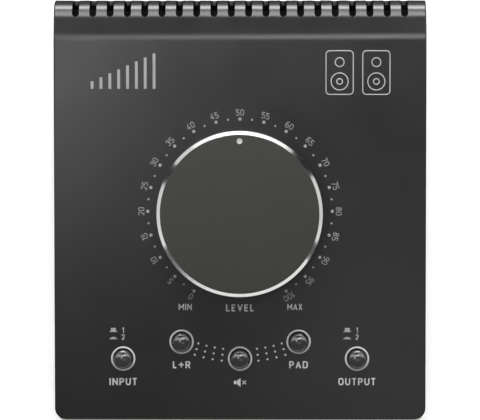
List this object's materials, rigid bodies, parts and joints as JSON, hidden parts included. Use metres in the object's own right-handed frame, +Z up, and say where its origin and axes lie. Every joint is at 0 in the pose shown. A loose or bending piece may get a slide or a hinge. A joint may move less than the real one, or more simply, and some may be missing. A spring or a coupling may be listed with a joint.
{
  "type": "studio monitor controller",
  "caption": "Wedge-shaped desktop monitor controller with a large volume knob, round push buttons, vent slots over the rear and jack sockets in the rear panel.",
  "frame": {"origin": "on the table, under the middle of the whole object", "axes": "+Z up, +Y to the rear, +X to the right as seen from the front"},
  "size_m": [0.118, 0.1336, 0.0611],
  "materials": {
    "case_paint": "satin dark grey paint on steel",
    "plate_paint": "fine black powder coat",
    "foot_rubber": "moulded matt rubber",
    "black_steel": "blackened steel",
    "zinc_steel": "zinc plated",
    "circuit_board": "green solder mask",
    "brass": "turned",
    "resistor_coat": "lacquered",
    "pot_can": "drawn can",
    "anodised_aluminium": "dark anodised, chamfer cut bright",
    "index_fill": "light grey fill",
    "cap_plastic": "glossy black",
    "plunger_plastic": "natural white",
    "switch_plastic": "moulded",
    "spring_steel": "drawn wire",
    "nickel_plate": "nickel plated",
    "socket_plastic": "moulded black",
    "cable_film": "flat film cable"
  },
  "bodies": {
    "case": {"top_cover": "case_paint", "base_plate": "plate_paint", "rear_panel": "plate_paint", "foot_screws": "black_steel", "base_screws": "black_steel", "rear_panel_screws": "black_steel", "control_board": "circuit_board", "board_standoffs": "brass", "board_screws": "zinc_steel", "signal_resistors": "resistor_coat", "pot_housing": "pot_can", "pot_bushing": "brass", "pot_tracks": "circuit_board", "pot_washer": "zinc_steel", "pot_nut": "zinc_steel", "jack_contacts": "brass", "jack_washers": "nickel_plate", "jack_nuts": "nickel_plate", "jack_board": "circuit_board", "flat_cable": "cable_film", "control_cable_connector": "switch_plastic", "jack_cable_connector": "switch_plastic", "front_left_foot": "foot_rubber", "front_right_foot": "foot_rubber", "rear_left_foot": "foot_rubber", "rear_right_foot": "foot_rubber", "source_a_right_jack": "socket_plastic", "source_a_left_jack": "socket_plastic", "source_b_right_jack": "socket_plastic", "source_b_left_jack": "socket_plastic", "monitor_a_right_jack": "socket_plastic", "monitor_a_left_jack": "socket_plastic", "monitor_b_right_jack": "socket_plastic", "monitor_b_left_jack": "socket_plastic", "source_switch_housing": "switch_plastic", "source_return_spring": "spring_steel", "mono_switch_housing": "switch_plastic", "mono_return_spring": "spring_steel", "mute_switch_housing": "switch_plastic", "mute_return_spring": "spring_steel", "dim_switch_housing": "switch_plastic", "dim_return_spring": "spring_steel", "monitor_switch_housing": "switch_plastic", "monitor_return_spring": "spring_steel"},
    "volume_knob": {"knob": "anodised_aluminium", "knob_index": "index_fill", "knob_set_screw": "black_steel", "pot_shaft": "zinc_steel", "pot_wipers": "switch_plastic"},
    "source_button": {"source_button_cap": "cap_plastic", "source_plunger": "plunger_plastic"},
    "mono_button": {"mono_button_cap": "cap_plastic", "mono_plunger": "plunger_plastic"},
    "mute_button": {"mute_button_cap": "cap_plastic", "mute_plunger": "plunger_plastic"},
    "dim_button": {"dim_button_cap": "cap_plastic", "dim_plunger": "plunger_plastic"},
    "monitor_button": {"monitor_button_cap": "cap_plastic", "monitor_plunger": "plunger_plastic"}
  },
  "joints": [
    {"name": "volume_turn", "type": "hinge", "parent": "case", "child": "volume_knob", "pos_m": [0, -0.00191, 0.0397], "axis": [0, 0.2079, -0.9781], "range_deg": [-150, 150]},
    {"name": "source_press", "type": "slide", "parent": "case", "child": "source_button", "axis": [0, 0.2079, -0.9781], "range_m": [0, 0.003], "stiffness_N_per_m": 400, "springref_m": -0.0015, "deforming": ["source_return_spring"]},
    {"name": "mono_press", "type": "slide", "parent": "case", "child": "mono_button", "axis": [0, 0.2079, -0.9781], "range_m": [0, 0.003], "stiffness_N_per_m": 400, "springref_m": -0.0015, "deforming": ["mono_return_spring"]},
    {"name": "mute_press", "type": "slide", "parent": "case", "child": "mute_button", "axis": [0, 0.2079, -0.9781], "range_m": [0, 0.003], "stiffness_N_per_m": 400, "springref_m": -0.0015, "deforming": ["mute_return_spring"]},
    {"name": "dim_press", "type": "slide", "parent": "case", "child": "dim_button", "axis": [0, 0.2079, -0.9781], "range_m": [0, 0.003], "stiffness_N_per_m": 400, "springref_m": -0.0015, "deforming": ["dim_return_spring"]},
    {"name": "monitor_press", "type": "slide", "parent": "case", "child": "monitor_button", "axis": [0, 0.2079, -0.9781], "range_m": [0, 0.003], "stiffness_N_per_m": 400, "springref_m": -0.0015, "deforming": ["monitor_return_spring"]}
  ]
}
